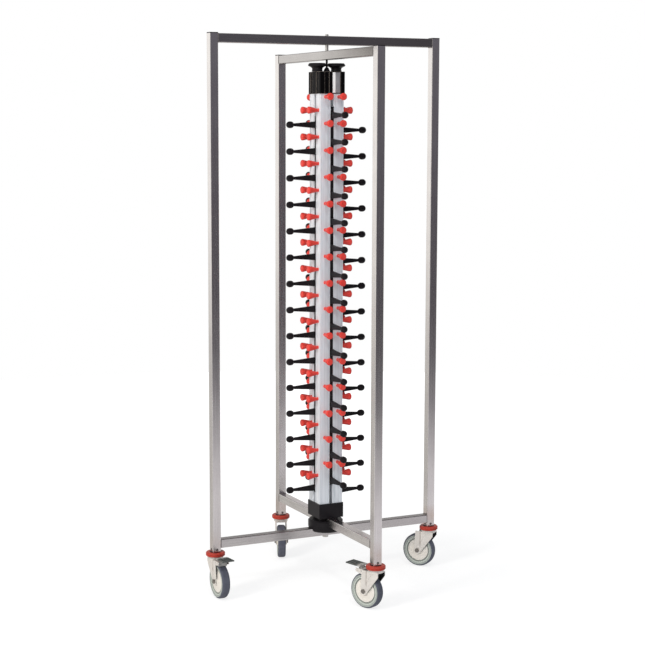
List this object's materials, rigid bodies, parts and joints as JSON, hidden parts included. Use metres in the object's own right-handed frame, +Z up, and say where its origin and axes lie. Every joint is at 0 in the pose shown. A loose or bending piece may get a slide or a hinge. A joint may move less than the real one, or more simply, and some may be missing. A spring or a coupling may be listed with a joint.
{
  "type": "collapsible plate rack",
  "caption": "Upright rolling rack whose two crossed tube frames fold about a peg column that holds plates one above another between fixed and sliding pegs.",
  "frame": {"origin": "on the floor, straight under the folding axis where the two frames cross", "axes": "+X along the wider frame towards the caster without a brake, +Y along the narrower frame away from its braked caster, +Z up"},
  "size_m": [0.7549, 0.685, 1.591],
  "materials": {
    "brushed_tube": "brushed along the tube",
    "column_alloy": "satin anodised, finely ridged",
    "black_plastic": "semi-matt",
    "red_plastic": "semi-gloss",
    "bumper_red": "semi-matt",
    "plain_plate": "satin, bare",
    "wheel_plastic": "satin",
    "tyre_rubber": "matt",
    "pedal_grey": "semi-matt",
    "pressed_steel": "bright plated",
    "plated_steel": "plated"
  },
  "bodies": {
    "outer_frame": {"outer_post_left": "brushed_tube", "outer_post_right": "brushed_tube", "outer_top_bar": "brushed_tube", "outer_bottom_bar": "brushed_tube", "outer_end_caps": "black_plastic", "lower_hub": "black_plastic", "pivot_bolt": "plated_steel", "pivot_pin": "plated_steel", "pivot_spacer": "plated_steel", "outer_bumper_rings": "bumper_red", "outer_caster_stems": "plated_steel"},
    "inner_frame": {"inner_post_front": "brushed_tube", "inner_post_back": "brushed_tube", "inner_top_bar": "brushed_tube", "inner_bottom_bar": "brushed_tube", "inner_end_caps": "black_plastic", "inner_bumper_rings": "bumper_red", "inner_caster_stems": "plated_steel", "upper_hub": "black_plastic", "base_block": "black_plastic", "column_left_front": "column_alloy", "column_right_front": "column_alloy", "column_left_back": "column_alloy", "column_right_back": "column_alloy", "spine": "black_plastic", "top_housing": "black_plastic", "label_plate": "plain_plate", "hanger_rod": "black_plastic", "short_pegs_left": "red_plastic", "short_pegs_right": "red_plastic", "short_pegs_front": "red_plastic", "short_pegs_back": "red_plastic"},
    "strip_carriage_left": {"strip_left": "black_plastic", "long_pegs_left": "black_plastic"},
    "strip_carriage_right": {"strip_right": "black_plastic", "long_pegs_right": "black_plastic"},
    "strip_carriage_front": {"strip_front": "black_plastic", "long_pegs_front": "black_plastic"},
    "strip_carriage_back": {"strip_back": "black_plastic", "long_pegs_back": "black_plastic"},
    "adjuster_left": {"knob_left": "black_plastic"},
    "adjuster_right": {"knob_right": "black_plastic"},
    "caster_fork_left": {"fork_left": "pressed_steel", "axle_left": "plated_steel"},
    "caster_wheel_left": {"hub_left": "wheel_plastic", "tyre_left": "tyre_rubber"},
    "caster_fork_right": {"fork_right": "pressed_steel", "axle_right": "plated_steel"},
    "caster_wheel_right": {"hub_right": "wheel_plastic", "tyre_right": "tyre_rubber"},
    "caster_fork_front": {"fork_front": "pressed_steel", "axle_front": "plated_steel"},
    "caster_wheel_front": {"hub_front": "wheel_plastic", "tyre_front": "tyre_rubber"},
    "caster_fork_back": {"fork_back": "pressed_steel", "axle_back": "plated_steel"},
    "caster_wheel_back": {"hub_back": "wheel_plastic", "tyre_back": "tyre_rubber"},
    "brake_left": {"pedal_left": "pedal_grey"},
    "brake_front": {"pedal_front": "pedal_grey"}
  },
  "joints": [
    {"name": "frame_fold", "type": "hinge", "parent": "outer_frame", "child": "inner_frame", "pos_m": [0, 0, 0.172], "axis": [0, 0, 1], "range_deg": [-10, 70]},
    {"name": "strip_slide_left", "type": "slide", "parent": "inner_frame", "child": "strip_carriage_left", "axis": [0, 0, 1], "range_m": [-0.025, 0.029]},
    {"name": "knob_turn_left", "type": "hinge", "parent": "inner_frame", "child": "adjuster_left", "pos_m": [-0.03, 0, 1.486], "axis": [0, 0, 1], "range_deg": [-117, 135]},
    {"name": "strip_slide_right", "type": "slide", "parent": "inner_frame", "child": "strip_carriage_right", "axis": [0, 0, 1], "range_m": [-0.01, 0.044]},
    {"name": "knob_turn_right", "type": "hinge", "parent": "inner_frame", "child": "adjuster_right", "pos_m": [0.03, 0, 1.486], "axis": [0, 0, 1], "range_deg": [-49, 202]},
    {"name": "strip_slide_front", "type": "slide", "parent": "inner_frame", "child": "strip_carriage_front", "axis": [0, 0, 1], "range_m": [-0.032, 0.022]},
    {"name": "strip_slide_back", "type": "slide", "parent": "inner_frame", "child": "strip_carriage_back", "axis": [0, 0, 1], "range_m": [-0.01, 0.044]},
    {"name": "caster_swivel_left", "type": "hinge", "parent": "outer_frame", "child": "caster_fork_left", "pos_m": [-0.35, 0, 0.116], "axis": [0, 0, 1], "continuous": true},
    {"name": "wheel_roll_left", "type": "hinge", "parent": "caster_fork_left", "child": "caster_wheel_left", "pos_m": [-0.34948, -0.03, 0.05], "axis": [0.9998, 0.0175, 0], "continuous": true},
    {"name": "brake_press_left", "type": "hinge", "parent": "caster_fork_left", "child": "brake_left", "pos_m": [-0.34934, -0.03799, 0.1065], "axis": [0.9998, 0.0175, 0], "range_deg": [0, 7]},
    {"name": "caster_swivel_right", "type": "hinge", "parent": "outer_frame", "child": "caster_fork_right", "pos_m": [0.35, 0, 0.116], "axis": [0, 0, 1], "continuous": true},
    {"name": "wheel_roll_right", "type": "hinge", "parent": "caster_fork_right", "child": "caster_wheel_right", "pos_m": [0.33195, 0.02396, 0.05], "axis": [-0.7986, -0.6018, 0], "continuous": true},
    {"name": "caster_swivel_front", "type": "hinge", "parent": "inner_frame", "child": "caster_fork_front", "pos_m": [0, -0.315, 0.116], "axis": [0, 0, 1], "continuous": true},
    {"name": "wheel_roll_front", "type": "hinge", "parent": "caster_fork_front", "child": "caster_wheel_front", "pos_m": [-0.0122, -0.28759, 0.05], "axis": [-0.9135, -0.4067, 0], "continuous": true},
    {"name": "brake_press_front", "type": "hinge", "parent": "caster_fork_front", "child": "brake_front", "pos_m": [-0.01546, -0.28029, 0.1065], "axis": [-0.9135, -0.4067, 0], "range_deg": [0, 7]},
    {"name": "caster_swivel_back", "type": "hinge", "parent": "inner_frame", "child": "caster_fork_back", "pos_m": [0, 0.315, 0.116], "axis": [0, 0, 1], "continuous": true},
    {"name": "wheel_roll_back", "type": "hinge", "parent": "caster_fork_back", "child": "caster_wheel_back", "pos_m": [-0.01124, 0.28718, 0.05], "axis": [0.9272, -0.3746, 0], "continuous": true}
  ],
  "couplings": [
    {"joint": "knob_turn_left", "follows": "strip_slide_left", "rad_per_m": 78.54},
    {"joint": "knob_turn_right", "follows": "strip_slide_right", "rad_per_m": 78.54}
  ]
}
